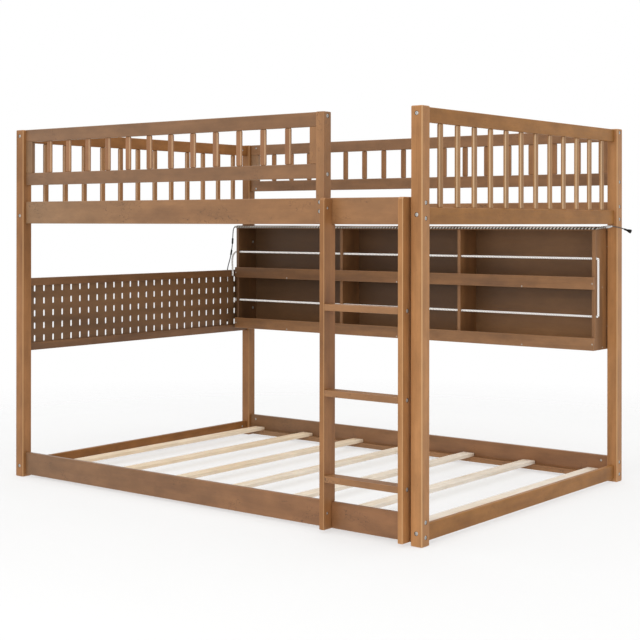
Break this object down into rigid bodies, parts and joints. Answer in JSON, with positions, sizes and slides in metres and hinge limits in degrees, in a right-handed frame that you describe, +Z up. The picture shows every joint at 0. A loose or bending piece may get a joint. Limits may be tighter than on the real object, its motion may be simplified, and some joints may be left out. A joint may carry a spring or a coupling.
{
  "type": "bunk bed",
  "caption": "Wooden bunk bed, wide bunk over wide bunk, with picket guards, an upright ladder, a slotted board at one end and a lit bookshelf along the back.",
  "frame": {"origin": "on the floor, in the middle of the footprint of the frame with its ladder", "axes": "+X along the bed from the pegboard end to the ladder end, +Y from the ladder side to the bookshelf side, +Z up"},
  "size_m": [2.0809, 1.492, 1.43],
  "materials": {
    "stained_wood": "satin brown stain over straight-grained softwood",
    "stained_panel": "satin brown stain over thin board",
    "bare_pine": "planed and unfinished",
    "zinc_steel": "zinc plated, dull",
    "light_tube": "milky, slightly clear",
    "lead_sheath": "soft plastic sheath",
    "lead_plastic": "moulded, satin"
  },
  "bodies": {
    "root": {"front_left_post": "stained_wood", "front_right_post": "stained_wood", "rear_left_post": "stained_wood", "rear_right_post": "stained_wood", "guard_post": "stained_wood", "front_lower_rail": "stained_wood", "front_upper_rail": "stained_wood", "front_guard_top_rail": "stained_wood", "front_guard_middle_rail": "stained_wood", "front_guard_stiles": "stained_wood", "front_guard_pickets": "stained_wood", "rear_lower_rail": "stained_wood", "rear_upper_rail": "stained_wood", "rear_guard_top_rail": "stained_wood", "rear_guard_middle_rail": "stained_wood", "rear_guard_stiles": "stained_wood", "rear_guard_pickets": "stained_wood", "left_lower_rail": "stained_wood", "left_upper_rail": "stained_wood", "left_top_rail": "stained_wood", "left_end_pickets": "stained_wood", "right_lower_rail": "stained_wood", "right_upper_rail": "stained_wood", "right_top_rail": "stained_wood", "right_end_pickets": "stained_wood", "front_lower_ledger": "stained_wood", "rear_lower_ledger": "stained_wood", "front_upper_ledger": "stained_wood", "rear_upper_ledger": "stained_wood", "ladder_left_stile": "stained_wood", "ladder_right_stile": "stained_wood", "ladder_low_rung": "stained_wood", "ladder_middle_rung": "stained_wood", "ladder_high_rung": "stained_wood", "pegboard_top_rail": "stained_wood", "pegboard_bottom_rail": "stained_wood", "shelf_left_side": "stained_wood", "shelf_right_side": "stained_wood", "shelf_bottom_board": "stained_wood", "shelf_middle_board": "stained_wood", "shelf_top_board": "stained_wood", "shelf_bottom_lip": "stained_wood", "shelf_middle_lip": "stained_wood", "shelf_dividers": "stained_wood", "pegboard_panel": "stained_panel", "shelf_back": "stained_panel", "lower_slats": "bare_pine", "upper_slats": "bare_pine", "frame_bolts": "zinc_steel", "cross_nuts": "zinc_steel", "ladder_bolts": "zinc_steel", "shelf_bolts": "zinc_steel", "shelf_rope_light": "light_tube", "rope_light_caps": "light_tube", "shelf_string_light": "light_tube", "right_lead": "lead_sheath", "left_lead": "lead_sheath", "right_lead_fittings": "lead_plastic", "left_lead_fittings": "lead_plastic"}
  },
  "joints": []
}
